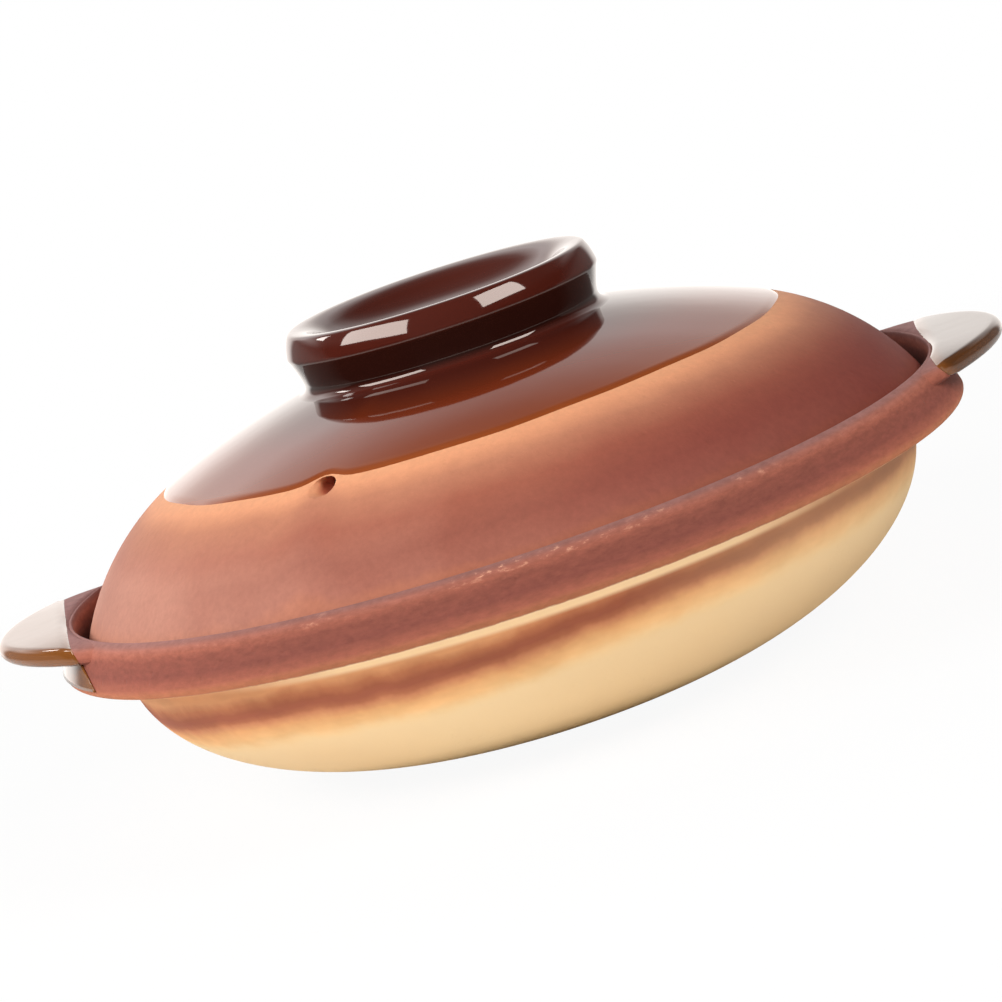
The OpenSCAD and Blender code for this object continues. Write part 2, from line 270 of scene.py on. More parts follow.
    # Wear left pale flecks here and there on the rim's outer edge, most of them away from the lugs.
    chipped = put(tree, "ShaderNodeMapRange",
                  {0: speck, 1: 0.55, 2: 0.66, 3: 0.0, 4: 0.6}).outputs[0]
    patches = put(tree, "ShaderNodeMapRange", {0: blotch, 1: 0.50, 2: 0.60}).outputs[0]
    off_lugs = put(tree, "ShaderNodeMapRange",
                   {0: sideways, 1: 0.03, 2: 0.09, 3: 1.0, 4: 0.1}).outputs[0]
    where = put(tree, "ShaderNodeMath", {0: patches, 1: off_lugs}, operation="MULTIPLY").outputs[0]
    edge_low = put(tree, "ShaderNodeMapRange", {0: height, 1: 0.0606, 2: 0.0619}).outputs[0]
    edge_high = put(tree, "ShaderNodeMapRange",
                    {0: height, 1: 0.0626, 2: 0.0634, 3: 1.0, 4: 0.0}).outputs[0]
    on_edge = put(tree, "ShaderNodeMath", {0: edge_low, 1: edge_high},
                  operation="MULTIPLY").outputs[0]
    worn_edge = put(tree, "ShaderNodeMath", {0: where, 1: on_edge},
                    operation="MULTIPLY").outputs[0]
    fleck = put(tree, "ShaderNodeMath", {0: chipped, 1: worn_edge}, operation="MULTIPLY").outputs[0]
    wash_and_lit_edge = put(tree, "ShaderNodeMix", {0: fleck, 6: wash_and_lit_edge, 7: hue("#d8a283")},
               data_type="RGBA").outputs[2]
    # The brush left the wash mottled. Towards the lugs it is painted lighter, as painted light on
    # the band's ends.
    mottle = put(tree, "ShaderNodeMapRange",
                 {0: speck, 1: 0.3, 2: 0.72, 3: 0.84, 4: 1.18}).outputs[0]
    lit_band_ends = put(tree, "ShaderNodeMapRange",
                  {0: sideways, 1: 0.06, 2: 0.115, 3: 1.0, 4: 1.22}).outputs[0]
    value = put(tree, "ShaderNodeMath", {0: mottle, 1: lit_band_ends}, operation="MULTIPLY").outputs[0]
    dusty = put(tree, "ShaderNodeHueSaturation", {"Color": wash_and_lit_edge, "Value": value}).outputs[0]
    colour = put(tree, "ShaderNodeMix", {0: band, 6: wiped, 7: dusty},
                 data_type="RGBA").outputs[2]
    coarse = put(tree, "ShaderNodeMapRange", {0: band, 3: 0.10, 4: 0.28}).outputs[0]
    return colour, coarse


bowl_stoneware = fired_clay("stoneware_with_iron_wash", washed_stoneware, 0.75)
band_edge = (BAND_R, BAND_LOW + BAND_CORNER)
bowl_inner = (
    bend((SEAT_EDGE[0], SEAT_EDGE[1] - SEAT_ROUND), UNDER_SEAT, (BOWL_INNER_R, BOWL_H), 6)
    + arc((BASE_R, BOWL_H), BOWL_INNER_R - BASE_R, BOWL_H - FLOOR_T, 0, -90, 40) + [(0, FLOOR_T)])
bowl_outline = (
    [(0, 0)] + arc((BASE_R, BOWL_H), BOWL_R - BASE_R, BOWL_H, -90, 0, 56)
    + arc((BOWL_R + BAND_FILLET, BOWL_H), BAND_FILLET, BAND_FILLET, 180, 90, 8)
    + arc((BAND_R - BAND_CORNER, BAND_LOW + BAND_CORNER), BAND_CORNER, BAND_CORNER, -90, 0, 10)
    + line(band_edge, toward(RIM_OUT, band_edge, RIM_ROUND), 12)
    + eased(band_edge, RIM_OUT, RIM_IN, RIM_ROUND)
    + eased(RIM_OUT, RIM_IN, SEAT_CORNER, RIM_ROUND)
    + [SEAT_CORNER] + eased(SEAT_CORNER, SEAT_EDGE, (SEAT_EDGE[0], 0), SEAT_ROUND) + bowl_inner)
bowl = spun(bowl_outline)
out_of_true(bowl, pot_sway)
finished("bowl_clay", bowl, bowl_stoneware, "pot", ["pot_bowl"])

# The glaze inside the bowl. Poured in and out again before firing, so it is an even gloss coat
# that stops just under the lid's seat, which stays bare so that the lid doesn't fuse to it.
GLAZE_T, LINING_GAP = 0.45, 0.1


def raised(outline, height):
    """An outline moved to its left by a height in millimetres."""
    moved = []
    for i, (r, z) in enumerate(outline):
        (r0, z0), (r1, z1) = outline[max(i - 1, 0)], outline[min(i + 1, len(outline) - 1)]
        run = math.hypot(r1 - r0, z1 - z0)
        moved.append((max(r - (z1 - z0) / run * height, 0.0), z + (r1 - r0) / run * height))
    return moved


# Colour by how deep the glaze reads at a place, from thin to thick; the darkest, near-black stop is
# painted shade in the knob's neck.
THINNING = ((0.002, "#84401a"), (0.006, "#753110"), (0.012, "#702c0d"), (0.022, "#6a280f"),
            (0.034, "#562213"), (0.040, "#4b1d13"), (0.046, "#451911"), (0.062, "#240e0a"))


def gloss_glaze(name, mark=None, stops=THINNING):
    """Iron-brown gloss glaze: dark red-brown where it is thick, amber where it breaks thin.

    The mark names the attribute that tells how deep it reads. Its colour drifts over 30 mm.
    """
    material, tree = fresh(name)
    place = put(tree, "ShaderNodeTexCoord").outputs["Object"]
    drift = put(tree, "ShaderNodeTexNoise",
                {"Vector": place, "Scale": 30.0, "Detail": 3.0}).outputs[0]
    if mark:
        depth = put(tree, "ShaderNodeAttribute", attribute_name=mark).outputs["Fac"]
        uneven = put(tree, "ShaderNodeMath", {0: drift, 1: 0.004, 2: depth},
                     operation="MULTIPLY_ADD").outputs[0]
        colour = colour_stops(tree, uneven, 0.0, 0.064, stops)
    else:
        colour = put(tree, "ShaderNodeMix", {0: drift, 6: hue("#451b13"), 7: hue("#54241a")},
                     data_type="RGBA").outputs[2]
    # Gloss glaze mirrors sharply and lies like thick varnish, with a slow swell of about 11 mm.
    swell = put(tree, "ShaderNodeTexNoise",
                {"Vector": place, "Scale": 90.0, "Detail": 1.0}).outputs[0]
    wave = put(tree, "ShaderNodeBump", {"Height": swell, "Strength": 0.08, "Distance": 0.0005})
    shader = put(tree, "ShaderNodeBsdfPrincipled", {"Base Color": colour, "Roughness": 0.05,
                 "IOR": 1.6, "Specular Tint": (1.0, 0.88, 0.80, 1.0), "Normal": wave.outputs[0]})
    put(tree, "ShaderNodeOutputMaterial", {"Surface": shader.outputs[0]})
    return material


dark_glaze = gloss_glaze("gloss_iron_glaze")
lining = spun(raised(bowl_inner, -LINING_GAP)[::-1] + raised(bowl_inner, -GLAZE_T))
out_of_true(lining, pot_sway)
finished("bowl_inside_glaze_coat", lining, dark_glaze, "pot",
         ["bowl_inside_glaze"])

# The lugs. Two tongues of clay luted to the band and smoothed onto the rim, then dipped in the
# gloss glaze. The left one went in deeper, so glaze also lies on the band's face below it.
LUG_TOP, LUG_ROOT_T, LUG_TIP_T = 64.4, 7.5, 4.2
LUG_HALF_ANGLE, LUG_TIP_R, LUG_BASE_R, LUG_SWELL, LUG_SINK = 24.0, 146.6, 126.6, 0.95, 1.6
LUG_ROOT_R, LUG_END_THICKENS = 125.6, 0.4
# Where the clay was smoothed onto the rim: how far it drops, bends and runs out level. Then how
# far before the nose the level top ends, and where the underside meets the band.
ROOT_DROP, ROOT_BEND, ROOT_RUN = 1.3, 1.2, 3.2
NOSE_RUN, UNDER_INSET, UNDER_RISE = 1.5, 1.0, 0.6
# Each dip line is where a level of glaze cut the tilted pot: a point in it and its way outwards.
DIP_AT = {"right": Vector((124.6, 0, 64.4)), "left": Vector((-126.8, 0, 64.4))}
DIP_OUT = {"right": Vector((1, -0.07, 0.7)).normalized(),
           "left": Vector((-1, -0.06, -0.22)).normalized()}
DIP_RUN_OUT, THINNEST = 2.0, 0.1
# How deep the glaze reads: on each lug's nose, at its dip line, and how fast it deepens from them.
NOSE_DEPTH, DIP_DEPTH, FROM_NOSE, FROM_DIP, MORE_AT_MOST = {"right": 34, "left": 16}, 12, 10, 8, 10
PATCH_BELOW_RIM, PATCH_SWEEP = 2.4, 60.0


def lug_outline():
    """The lug's middle section, from its top at the root, round the tip and back underneath."""
    nose = LUG_TIP_T / 2
    top, low = LUG_TOP, LUG_TOP - LUG_ROOT_T
    level_from, under = (LUG_ROOT_R + ROOT_RUN, top), (BAND_R - UNDER_INSET, low + UNDER_RISE)
    return (bend((LUG_ROOT_R, top - ROOT_DROP), (LUG_ROOT_R + ROOT_BEND, top), level_from, 6)
            + line(level_from, (LUG_TIP_R - nose - NOSE_RUN, top), 14)
            + arc((LUG_TIP_R - nose, top - nose), nose, nose, 90, -90, 16)
            + line((LUG_TIP_R - nose, top - LUG_TIP_T), under, 10)
            + [(LUG_ROOT_R, low)])


def lug_swell(a):
    """How full the lug is at an angle round the pot: 1 in its middle and 0 at its ends."""
    off = 90 * math.degrees(math.remainder(a, math.pi)) / LUG_HALF_ANGLE
    return max(math.cos(math.radians(off)), 0.0) ** LUG_SWELL


def lug_form(side):
    """A lug as a short turn of its section, drawn in and sunk towards its two ends."""
    bm = spun(lug_outline(), closed=True, sweep=2 * LUG_HALF_ANGLE, steps=72,
              start=-LUG_HALF_ANGLE + (180 if side == "left" else 0))
    bmesh.ops.holes_fill(bm, edges=[e for e in bm.edges if e.is_boundary])
    for v in bm.verts:
        r, a, z = about(v.co)
        swell = lug_swell(a)
        reach = LUG_BASE_R + (LUG_TIP_R - LUG_BASE_R) * swell
        share = (r - LUG_ROOT_R) / (LUG_TIP_R - LUG_ROOT_R)
        r = LUG_ROOT_R + share * (reach - LUG_ROOT_R)
        z -= LUG_SINK * (1 - swell) ** 2 * min(max((z - LUG_TOP + LUG_TIP_T) / LUG_TIP_T, 0), 1)
        z -= LUG_END_THICKENS * (1 - swell) * share * max(LUG_TOP - z, 0)
        v.co = Vector((r * math.cos(a), r * math.sin(a), z)) * MM
    bmesh.ops.recalc_face_normals(bm, faces=bm.faces)
    return bm


def past_dip(co, side):
    """How far a point lies beyond a lug's dip line, in millimetres."""
    return (co / MM - DIP_AT[side]).dot(DIP_OUT[side])


def coated(bm, side):
    """Moves every vertex out by the glaze's thickness, which runs out thin at the dip line."""
    bm.normal_update()
    moves = [(v, v.normal * min(max(past_dip(v.co, side) / DIP_RUN_OUT, THINNEST), 1))
             for v in bm.verts]
    for v, step in moves:
        v.co += step * GLAZE_T * MM


def kept_beyond(bm, side):
    """Cuts a coat off at its dip line, so that only what was dipped is left."""
    bmesh.ops.bisect_plane(bm, geom=bm.verts[:] + bm.edges[:] + bm.faces[:], dist=1e-7,
                           plane_co=DIP_AT[side] * MM, plane_no=DIP_OUT[side],
                           clear_inner=True, clear_outer=False)


def marked(bm, name, value_of):
    """Stores a number in metres at every vertex, for the material to read."""
    layer = bm.verts.layers.float.new(name)
    for v in bm.verts:
        v[layer] = value_of(v.co) * MM


def lug_depth(co):
    """How deep the lug's glaze reads: shallow at its dip line and where it thins over the nose."""
    r, a, z = about(co)
    to_tip = LUG_BASE_R + (LUG_TIP_R - LUG_BASE_R) * lug_swell(a) - r
    side = "left" if co.x < 0 else "right"
    at_nose = NOSE_DEPTH[side]
    return min(max(to_tip, 0) * FROM_NOSE + at_nose,
               max(past_dip(co, side), 0) * FROM_DIP + DIP_DEPTH, at_nose + MORE_AT_MOST)


lug_glaze = gloss_glaze("gloss_iron_glaze_on_lugs", "glaze_depth", (
    (0.004, "#8a5426"), (0.014, "#7c4a20"), (0.026, "#6c3f1e"), (0.038, "#4e2f19"),
    (0.048, "#402516")))
for side in ("left", "right"):
    clay = lug_form(side)
    out_of_true(clay, pot_sway)
    finished(side + "_lug_clay", clay, bowl_stoneware, "pot", [side + "_lug"])
    coat = lug_form(side)
    coated(coat, side)
    kept_beyond(coat, side)
    if side == "left":
        face = line(band_edge, toward(RIM_OUT, band_edge, PATCH_BELOW_RIM), 8)
        patch = spun(raised(face, -GLAZE_T), sweep=PATCH_SWEEP, steps=60,
                     start=180 - PATCH_SWEEP / 2)
        kept_beyond(patch, side)
        mesh = bpy.data.meshes.new("patch")
        patch.to_mesh(mesh)
        patch.free()
        coat.from_mesh(mesh)
        bpy.data.meshes.remove(mesh)
    bmesh.ops.recalc_face_normals(coat, faces=coat.faces)
    marked(coat, "glaze_depth", lug_depth)
    out_of_true(coat, pot_sway)
    piece = finished(side + "_lug_glaze_coat", coat, lug_glaze, "pot",
                     [side + "_lug_glaze"])
    skin = piece.modifiers.new("thickness", "SOLIDIFY")
    skin.thickness = GLAZE_T * MM
    skin.offset = -1

# The lid. A thrown dome of the same clay that drops onto the seat, washed with iron outside.
# The gloss glaze was poured over its crown and stops at a line level with the steam hole.
CROWN_R, SHOULDER_R = 232.0, 69.3
EDGE_R, LID_LOW, FOOT_ROUND = 123.1, 55.1, 1.2
EDGE_H = LID_LOW + FOOT_ROUND
LID_WALL = 6.5
EDGE_LEAN = math.radians(25.3)
SHOULDER_AT = (EDGE_R - SHOULDER_R * math.cos(EDGE_LEAN),
               EDGE_H - SHOULDER_R * math.sin(EDGE_LEAN))
CROWN_JOIN = math.acos(SHOULDER_AT[0] / (CROWN_R - SHOULDER_R))
CROWN_LOW = SHOULDER_AT[1] - (CROWN_R - SHOULDER_R) * math.sin(CROWN_JOIN)
JOIN_R = CROWN_R * math.cos(CROWN_JOIN)
UNDER_R = SHOULDER_R - LID_WALL
KNOB_FOOT_R = 45.4
HOLE_R, HOLE_AZIMUTH = 90.7, 240.6
# The glaze's lower edge runs a little oval and wavy, and draws back above the steam hole.
DIP_R, DIP_OVAL = 89.0, 1.6
DIP_WAVES = ((0.35, 3, 0.6), (0.22, 7, 0.0), (0.12, 17, 2.0))
DIP_NOTCH, NOTCH_WIDTH = 3.0, 5.5


def slope(r):
    """The angle of the dome's outward normal above level, at a radius."""
    return (math.acos(r / CROWN_R) if r < JOIN_R
            else math.acos((min(r, EDGE_R) - SHOULDER_AT[0]) / SHOULDER_R))


def on_dome(r, lift=0.0):
    """The point of the dome's outside at a radius, raised by a lift."""
    a = slope(r)
    centre, size = ((0.0, CROWN_LOW), CROWN_R) if r < JOIN_R else (SHOULDER_AT, SHOULDER_R)
    return centre[0] + (size + lift) * math.cos(a), centre[1] + (size + lift) * math.sin(a)


def dip_radius(a):
    """The radius of the glaze's lower edge at an angle round the lid."""
    near_hole = math.remainder(a - math.radians(HOLE_AZIMUTH), math.tau) * DIP_R
    return (DIP_R + DIP_OVAL * math.cos(a) ** 2 + waves(a, DIP_WAVES)
            - DIP_NOTCH * math.exp(-(near_hole / NOTCH_WIDTH) ** 2))


def lid_sway(co):
    """How far the hand-thrown lid runs out of true, in millimetres out and up."""
    r, a, z = about(co)
    share = min(r / EDGE_R, 1)
    return share * waves(a, ((0.2, 2, 0.3),)), share * waves(a, ((0.1, 3, 1.0),))


def below_dip(co):
    """How far down the dome a point lies from the glaze's edge, in millimetres."""
    r, a, z = about(co)
    edge = dip_radius(a)
    return math.copysign(math.dist(on_dome(min(r, EDGE_R)), on_dome(edge)), r - edge)


def washed_lid(tree, place):
    """Iron wash on the lid: pale where the glaze drew it up, dark below, heavier to the right, and
    painted in shade to the right and in light to the left.
    """
    below = put(tree, "ShaderNodeAttribute", attribute_name="below_dip").outputs["Fac"]
    side = put(tree, "ShaderNodeSeparateXYZ", {0: place}).outputs["X"]
    # Clouds of 80 mm, smudges of 17 mm and specks of 2 mm.
    cloud = put(tree, "ShaderNodeTexNoise",
                {"Vector": place, "Scale": 13.0, "Detail": 3.0, "Roughness": 0.55}).outputs[0]
    smudge = put(tree, "ShaderNodeTexNoise",
                 {"Vector": place, "Scale": 60.0, "Detail": 4.0, "Roughness": 0.65}).outputs[0]
    speck = put(tree, "ShaderNodeTexNoise",
                {"Vector": place, "Scale": 480.0, "Detail": 3.0, "Roughness": 0.7}).outputs[0]
    shifted = put(tree, "ShaderNodeMath", {0: smudge, 1: 0.007, 2: below},
                  operation="MULTIPLY_ADD").outputs[0]
    # The noise adds 3.5 mm on average to the distance below the glaze's edge.
    bands = colour_stops(tree, shifted, 0.0, 0.055, (
        (0.0030, "#d0926b"), (0.0070, "#cc8b66"), (0.0135, "#ab6f54"), (0.0240, "#91523f"),
        (0.0335, "#864b3c"), (0.0410, "#925646"), (0.0443, "#a05f47")))
    # One ramp across the lid makes the wash heavier and darker to the right, and thinner and paler
    # to the left. This is partly real wash and partly painted shade on the right and painted light
    # on the left.
    load_and_side_light = put(tree, "ShaderNodeMath", {0: cloud, 1: 0.16, 2: side},
                 operation="MULTIPLY_ADD").outputs[0]
    away = put(tree, "ShaderNodeMapRange", {0: below, 1: 0.008, 2: 0.026}).outputs[0]
    heavy_and_shaded = put(tree, "ShaderNodeMapRange",
                {0: load_and_side_light, 1: 0.08, 2: 0.20, 3: 0.0, 4: 0.8}).outputs[0]
    dark_share = put(tree, "ShaderNodeMath", {0: heavy_and_shaded, 1: away}, operation="MULTIPLY").outputs[0]
    darker = put(tree, "ShaderNodeMix", {0: dark_share, 6: bands, 7: hue("#6e261f")},
                 data_type="RGBA").outputs[2]
    thin_and_lit = put(tree, "ShaderNodeMapRange",
               {0: load_and_side_light, 1: 0.06, 2: -0.06, 3: 0.0, 4: 0.65}).outputs[0]
    thin_and_lit_share = put(tree, "ShaderNodeMath", {0: thin_and_lit, 1: away}, operation="MULTIPLY").outputs[0]
    paler = put(tree, "ShaderNodeMix", {0: thin_and_lit_share, 6: darker, 7: hue("#cd957f")},
                data_type="RGBA").outputs[2]
    # The steam hole's throat is painted a deeper, darker red than the face, as painted shade inside
    # the hole.
    deep = put(tree, "ShaderNodeAttribute", attribute_name="hole_depth").outputs["Fac"]
    throat_shade = put(tree, "ShaderNodeMapRange",
                 {0: deep, 1: 0.0012, 2: 0.0032, 3: 0.0, 4: 0.85}).outputs[0]
    paler = put(tree, "ShaderNodeMix", {0: throat_shade, 6: paler, 7: hue("#a54e38")},
                data_type="RGBA").outputs[2]
    dusty = put(tree, "ShaderNodeMapRange",
                {0: speck, 1: 0.3, 2: 0.72, 3: 0.93, 4: 1.07}).outputs[0]
    lighter = put(tree, "ShaderNodeHueSaturation", {"Color": paler, "Value": dusty}).outputs[0]
    rough = put(tree, "ShaderNodeMapRange", {0: speck, 3: 0.12, 4: 0.22}).outputs[0]
    return lighter, rough


lid_stoneware = fired_clay("washed_lid_stoneware", washed_lid, 0.7)
under_foot = math.asin((EDGE_H - SHOULDER_AT[1]) / UNDER_R)
FOOT_IN_R = SHOULDER_AT[0] + UNDER_R * math.cos(under_foot)
edge_corner, foot_corner = (EDGE_R, LID_LOW), (FOOT_IN_R, LID_LOW)
underside = (
    arc(SHOULDER_AT, UNDER_R, UNDER_R, math.degrees(under_foot), math.degrees(CROWN_JOIN), 24)
    + arc((0, CROWN_LOW), CROWN_R - LID_WALL, CROWN_R - LID_WALL, math.degrees(CROWN_JOIN), 90, 16))
dome_radii = ([DIP_R * i / 24 for i in range(24)]
              + [DIP_R + (EDGE_R - DIP_R) * i / 48 for i in range(49)])
lid_outline = (
    [on_dome(r) for r in dome_radii]
    + eased((EDGE_R, EDGE_H), edge_corner, foot_corner, FOOT_ROUND)
    + eased(edge_corner, foot_corner, (FOOT_IN_R, EDGE_H), FOOT_ROUND) + underside)


# The steam hole was pushed through nearly level, so it climbs the dome's slope as it goes in. Its
# rings run from the mouth to the throat: half width, half height along the slope, and depth.
HOLE_RINGS = [(4.4, 4.4, 0.0), (4.15, 4.35, 0.12), (3.75, 4.25, 0.4), (3.3, 4.15, 0.8),
              (2.9, 4.05, 1.3), (2.65, 4.0, 2.0), (2.55, 4.0, 3.0), (2.55, 4.0, 4.4)]
UNDERSIDE_RING = (2.7, 4.2, 0.0)
HOLE_CLIMB, NEAR_HOLE, PAST_HOLE = 1.6, 9.0, 10.0
THROAT_NEAR, THROAT_LONG = 6.0, 8.0
hole_turn, hole_slope = math.radians(HOLE_AZIMUTH), slope(HOLE_R)
hole_r, hole_z = on_dome(HOLE_R)
hole_at = Vector((hole_r * math.cos(hole_turn), hole_r * math.sin(hole_turn), hole_z))
hole_out = Vector((math.cos(hole_slope) * math.cos(hole_turn),
                   math.cos(hole_slope) * math.sin(hole_turn), math.sin(hole_slope)))
hole_across = Vector((-math.sin(hole_turn), math.cos(hole_turn), 0))
hole_up = hole_out.cross(hole_across)
hole_axis = hole_out - HOLE_CLIMB * hole_up


def from_hole(co):
    """A point's way out from the hole's axis, along the dome, and its height, in millimetres."""
    way = co / MM - hole_at
    height = way.dot(hole_out)
    return way - height * hole_axis, height


def on_ring(away, half_width, half_height, height):
    """The point of a ring round the hole's axis that lies nearest to a way out from the axis."""
    x, y = away.dot(hole_across) / half_width, away.dot(hole_up) / half_height
    size = math.hypot(x, y)
    return (hole_at + hole_axis * height + hole_across * (x / size * half_width)
            + hole_up * (y / size * half_height)) * MM


def drilled(bm, rings):
    """Opens a shell along the steam hole's axis, with one ring of points for each of the rings."""
    near = [f for f in bm.faces if from_hole(f.calc_center_median())[0].length < NEAR_HOLE
            and abs(from_hole(f.calc_center_median())[1]) < PAST_HOLE]
    bmesh.ops.subdivide_edges(bm, edges=list({e for f in near for e in f.edges}), cuts=3,
                              use_grid_fill=True)
    bm.normal_update()
    loops = []
    for facing, (half_width, half_height, _) in ((1, rings[0]), (-1, rings[-1])):
        gone = []
        for f in bm.faces:
            away, height = from_hole(f.calc_center_median())
            inside = math.hypot(away.dot(hole_across) / half_width,
                                away.dot(hole_up) / half_height) < 1
            if inside and abs(height) < PAST_HOLE and f.normal.dot(hole_out) * facing > 0:
                gone.append(f)
        bmesh.ops.delete(bm, geom=gone, context="FACES")
        edge_loop = [e for e in bm.edges if e.is_boundary and not any(e in done for done in loops)]
        for v in {v for e in edge_loop for v in e.verts}:
            away, height = from_hole(v.co)
            v.co = on_ring(away, half_width, half_height, height)
        loops.append(edge_loop)
    ring = loops[0]
    for half_width, half_height, depth in rings[1:-1]:
        made = bmesh.ops.extrude_edge_only(bm, edges=ring)["geom"]
        points = {v for v in made if isinstance(v, bmesh.types.BMVert)}
        ring = [e for e in made
                if isinstance(e, bmesh.types.BMEdge) and all(v in points for v in e.verts)]
        for v in points:
            v.co = on_ring(from_hole(v.co)[0], half_width, half_height, -depth)
    bmesh.ops.bridge_loops(bm, edges=ring + loops[1])
    bmesh.ops.recalc_face_normals(bm, faces=bm.faces)


def hole_depth(co):
    """How deep a point lies in the steam hole, in millimetres."""
    away, height = from_hole(co)
    return max(-height, 0.0) if away.length < THROAT_NEAR and height > -THROAT_LONG else 0.0


dome = spun(lid_outline)
drilled(dome, HOLE_RINGS)
marked(dome, "below_dip", below_dip)
marked(dome, "hole_depth", hole_depth)
out_of_true(dome, lid_sway)
finished("lid_clay_dome", dome, lid_stoneware, "lid", ["lid_dome"])

# The glaze on the lid: the poured coat over the crown, which thins to amber at its edge, and the
# coat on the underside, which stops short of the bare foot.
COAT_SINK, TAPER, BARE_FOOT = 0.3, 2.6, 3.0
lid_glaze = gloss_glaze("gloss_iron_glaze_thinning_out", "above_dip")
# The rings stand closer together towards the edge, where the glaze runs out.
shares = [1 - (1 - i / 60) ** 1.5 for i in range(61)]
skin_r = [KNOB_FOOT_R + (DIP_R - KNOB_FOOT_R) * share for share in shares]
coat = spun([on_dome(r, -COAT_SINK) for r in skin_r]
            + [on_dome(r, GLAZE_T) for r in skin_r[::-1]], closed=True)
for v in coat.verts:
    r, a, z = about(v.co)
    lift = min((-COAT_SINK, GLAZE_T),
               key=lambda face: math.dist((r, z), on_dome(min(r, EDGE_R), face)))
    base_r = r - lift * math.cos(slope(min(r, EDGE_R)))
    share = (base_r - KNOB_FOOT_R) / (DIP_R - KNOB_FOOT_R)
    new_r = KNOB_FOOT_R + (dip_radius(a) - KNOB_FOOT_R) * share
    left = (1 - share) * (DIP_R - KNOB_FOOT_R)
    if lift > 0:
        lift = (lift + COAT_SINK) * (1 - (1 - min(left / TAPER, 1)) ** 2) - COAT_SINK
    out, up = on_dome(new_r, lift)
    v.co = Vector((out * math.cos(a), out * math.sin(a), up)) * MM
marked(coat, "above_dip", lambda co: max(-below_dip(co), 0.0))
out_of_true(coat, lid_sway)
finished("lid_crown_glaze_coat", coat, lid_glaze, "lid", ["lid_outer_glaze"])

inner = [p for p in underside if p[1] > LID_LOW + BARE_FOOT]
under = spun(raised(inner, GLAZE_T)[::-1] + raised(inner, -LINING_GAP))
drilled(under, [UNDERSIDE_RING, UNDERSIDE_RING])
out_of_true(under, lid_sway)
finished("lid_underside_glaze_coat", under, dark_glaze, "lid",
         ["lid_underside_glaze"])

# The knob. Thrown on the crown as a wide dish on a short flared neck, so that fingers hook under
# its lip. It is glazed all over, so the clay inside the coat never shows.
NECK_R, NECK_LOW, KNOB_R, LIP_LOW = 43.0, 106.4, 45.4, 114.8
LIP_LEAN, LIP_TOP, LIP_EDGE, CREST = (44.84, 118.35), (43.6, 120.6), (43.16, 121.4), (41.9, 121.4)
DISH_TOP, DISH_MID, DISH_LOW, DISH_R = (37.2, 121.4), (34.2, 118.8), (28.8, 113.0), 17.0
FOOT_RISE, FLARE_FROM = 0.6, 108.1
COAT_DOWN, CORE_DOWN, CORE_IN = 0.8, 0.4, 1.0
# How deep the glaze reads on the lip, and how much deeper the neck reads as painted shade under the
# lip, from a little above the foot to a little above the lip's lower edge.
LIP_DEPTH, NECK_SHADE = 44, 16
SHADE_FROM, SHADE_OVER, SHADE_PAST = 0.8, 2.0, 0.2
foot_at = on_dome(KNOB_FOOT_R, GLAZE_T)
knob_outline = (
    bend(foot_at, (NECK_R, foot_at[1] + FOOT_RISE), (NECK_R, NECK_LOW), 12)
    + bend((NECK_R, NECK_LOW), (NECK_R, FLARE_FROM), (KNOB_R, LIP_LOW), 14)
    + bend((KNOB_R, LIP_LOW), LIP_LEAN, LIP_TOP, 14) + bend(LIP_TOP, LIP_EDGE, CREST, 12)
    + bend(CREST, DISH_TOP, DISH_MID, 16)
    + bend(DISH_MID, DISH_LOW, (DISH_R, DISH_LOW[1]), 20) + [(0, DISH_LOW[1])])


def knob_depth_and_shade(co):
    """How deep the knob's glaze reads: even over the lip and dish, and deeper in the neck as
    painted shade under the lip.
    """
    r, a, z = about(co)
    past_foot = min(max((z - foot_at[1] - SHADE_FROM) / SHADE_OVER, 0), 1)
    under_lip = min(max(LIP_LOW + SHADE_PAST - z, 0), 1)
    return LIP_DEPTH + (NECK_SHADE * past_foot * under_lip if r > DISH_MID[0] else 0)


# The knob's neck reads near black: painted shade under the lip.
knob_glaze_with_shaded_neck = gloss_glaze("gloss_iron_glaze_shaded_neck", "glaze_depth")
coat_low, core_low = foot_at[1] - COAT_DOWN, foot_at[1] - CORE_DOWN
knob = spun(knob_outline + [(0, coat_low), (KNOB_FOOT_R, coat_low)], closed=True)
marked(knob, "glaze_depth", knob_depth_and_shade)
out_of_true(knob, lid_sway)
finished("knob_glaze_coat", knob, knob_glaze_with_shaded_neck, "lid", ["knob_glaze"])
core = spun(raised(knob_outline, GLAZE_T) + [(0, core_low), (KNOB_FOOT_R - CORE_IN, core_low)],
            closed=True)
out_of_true(core, lid_sway)
finished("knob_clay", core, lid_stoneware, "lid", ["lid_knob"])

# The studio: a pale floor that fades into the white behind, a white sweep behind the pot, two
# softboxes and a side lamp, two cards of light, and the dark room that the glaze mirrors.
FLOOR_R, FLOOR_WHITE = 0.55, 0.93
floor_mesh = bmesh.new()
bmesh.ops.create_circle(floor_mesh, cap_ends=True, segments=96, radius=FLOOR_R)
mesh = bpy.data.meshes.new("floor")
floor_mesh.to_mesh(mesh)
floor_mesh.free()
floor = bpy.data.objects.new("floor", mesh)
bpy.context.scene.collection.objects.link(floor)
material, tree = fresh("pale_floor")
place = put(tree, "ShaderNodeTexCoord").outputs["Object"]
away = put(tree, "ShaderNodeVectorMath", {0: place}, operation="LENGTH").outputs["Value"]
fade = put(tree, "ShaderNodeMapRange",
           {0: away, 1: FLOOR_R * 0.55, 2: FLOOR_R * 0.98, 3: 0.0, 4: 1.0},
           interpolation_type="SMOOTHSTEP").outputs[0]
seen = put(tree, "ShaderNodeLightPath").outputs["Is Camera Ray"]
paper = put(tree, "ShaderNodeBsdfDiffuse", {"Color": hue("#e4e2df")})
glow = put(tree, "ShaderNodeEmission", {"Color": (1, 1, 1, 1), "Strength": 1.0})
